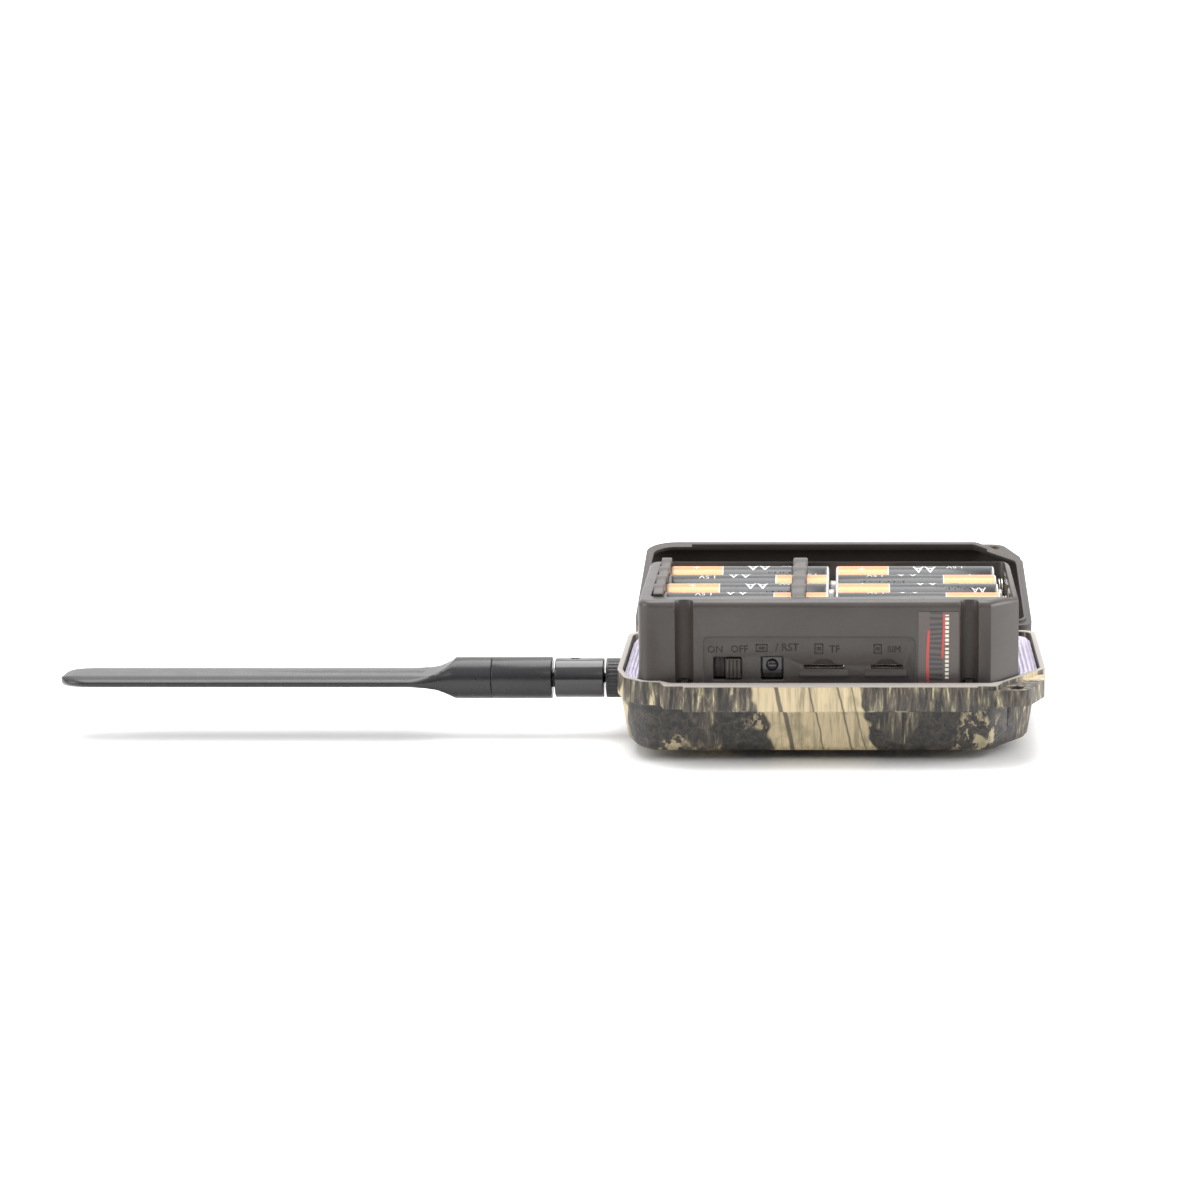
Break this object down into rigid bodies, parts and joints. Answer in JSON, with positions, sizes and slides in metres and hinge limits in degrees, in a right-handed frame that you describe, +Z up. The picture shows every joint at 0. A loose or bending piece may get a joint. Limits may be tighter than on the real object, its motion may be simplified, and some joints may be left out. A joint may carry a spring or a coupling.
{
  "type": "trail camera",
  "caption": "Battery-powered trail camera with a hinged rear cover standing open, a battery housing with a control panel, card slots, and a folding paddle antenna.",
  "frame": {"origin": "on the raised panel of the front face that the camera lies on, midway along the case and on the antenna's axis in plan", "axes": "+X along the case from the antenna end to the tripod end, +Y from the latch side to the hinge side, +Z up, out of the back of the camera"},
  "size_m": [0.2954, 0.1878, 0.0501],
  "materials": {
    "camo_shell": "bark-pattern camouflage film over moulded ABS, matte",
    "housing_plastic": "fine-grained brown moulded ABS",
    "cell_jacket": null,
    "silicone_seal": "pale ribbed silicone",
    "black_plastic": "satin black moulded plastic",
    "gloss_black": "glossy black moulded plastic",
    "bright_contact": "nickel-plated spring steel",
    "steel": "zinc-plated steel",
    "brass": "machined brass",
    "board_green": "solder-masked laminate",
    "clear_glass": "coated lens glass",
    "dark_window": "infrared-pass acrylic",
    "milky_lens": "milky polyethylene fresnel lens",
    "lamp_epoxy": "clear-violet epoxy lamps",
    "sticker": "printed vinyl sticker",
    "rubber_plug": "soft black rubber"
  },
  "bodies": {
    "camera": {"antenna_jack": "brass", "antenna_pigtail": "black_plastic", "battery_cell_1": "cell_jacket", "battery_cell_2": "cell_jacket", "battery_cell_3": "cell_jacket", "battery_cell_4": "cell_jacket", "battery_cell_5": "cell_jacket", "battery_cell_6": "cell_jacket", "battery_cell_7": "cell_jacket", "battery_cell_8": "cell_jacket", "board_screws": "steel", "cell_end_guard": "housing_plastic", "cell_strap": "housing_plastic", "contact_plates": "bright_contact", "contact_springs": "bright_contact", "dc_jack": "black_plastic", "front_shell": "camo_shell", "hinge_pin": "steel", "housing_screws": "steel", "image_sensor": "gloss_black", "inner_housing": "housing_plastic", "ir_leds": "lamp_epoxy", "label_plate": "sticker", "led_board": "board_green", "led_window": "dark_window", "lens_barrel": "black_plastic", "lens_glass": "clear_glass", "light_sensor_window": "dark_window", "main_board": "board_green", "microphone": "bright_contact", "modem_module": "bright_contact", "pir_lens": "milky_lens", "pir_sensor": "bright_contact", "power_switch_body": "black_plastic", "reset_switch": "black_plastic", "rim_gasket": "silicone_seal", "sim_socket": "bright_contact", "status_led": "lamp_epoxy", "tf_socket": "bright_contact", "tripod_insert": "brass"},
    "cover": {"rear_cover": "camo_shell", "latch_pin": "steel"},
    "latch": {"latch_lever": "black_plastic"},
    "antenna_nut": {"antenna_nut": "black_plastic"},
    "antenna_base": {"antenna_base": "gloss_black", "antenna_pin": "steel"},
    "antenna": {"antenna_sleeve": "black_plastic", "antenna_blade": "black_plastic"},
    "switch_knob": {"power_switch_knob": "housing_plastic"},
    "reset_button": {"reset_button": "gloss_black"},
    "dc_plug": {"dc_plug": "rubber_plug"}
  },
  "joints": [
    {"name": "cover_hinge", "type": "hinge", "parent": "camera", "child": "cover", "pos_m": [0, 0.0416, 0.02465], "axis": [1, 0, 0], "range_deg": [0, 171.4]},
    {"name": "latch_swing", "type": "hinge", "parent": "cover", "child": "latch", "pos_m": [0, 0.13367, 0.0271], "axis": [1, 0, 0], "range_deg": [0, 180]},
    {"name": "antenna_nut_turn", "type": "hinge", "parent": "camera", "child": "antenna_nut", "pos_m": [-0.0653, 0, 0.0174], "axis": [1, 0, 0], "continuous": true},
    {"name": "antenna_swivel", "type": "hinge", "parent": "camera", "child": "antenna_base", "pos_m": [-0.0755, 0, 0.0174], "axis": [1, 0, 0], "continuous": true},
    {"name": "antenna_fold", "type": "hinge", "parent": "antenna_base", "child": "antenna", "pos_m": [-0.077, 0, 0.0174], "axis": [0, 0, -1], "range_deg": [0, 90]},
    {"name": "power_switch_slide", "type": "slide", "parent": "camera", "child": "switch_knob", "axis": [1, 0, 0], "range_m": [-0.0032, 0]},
    {"name": "reset_button_press", "type": "slide", "parent": "camera", "child": "reset_button", "axis": [0, 1, 0], "range_m": [0, 0.0006], "stiffness_N_per_m": 300},
    {"name": "dc_plug_pull", "type": "slide", "parent": "camera", "child": "dc_plug", "axis": [1, 0, 0], "range_m": [0, 0.012]}
  ]
}
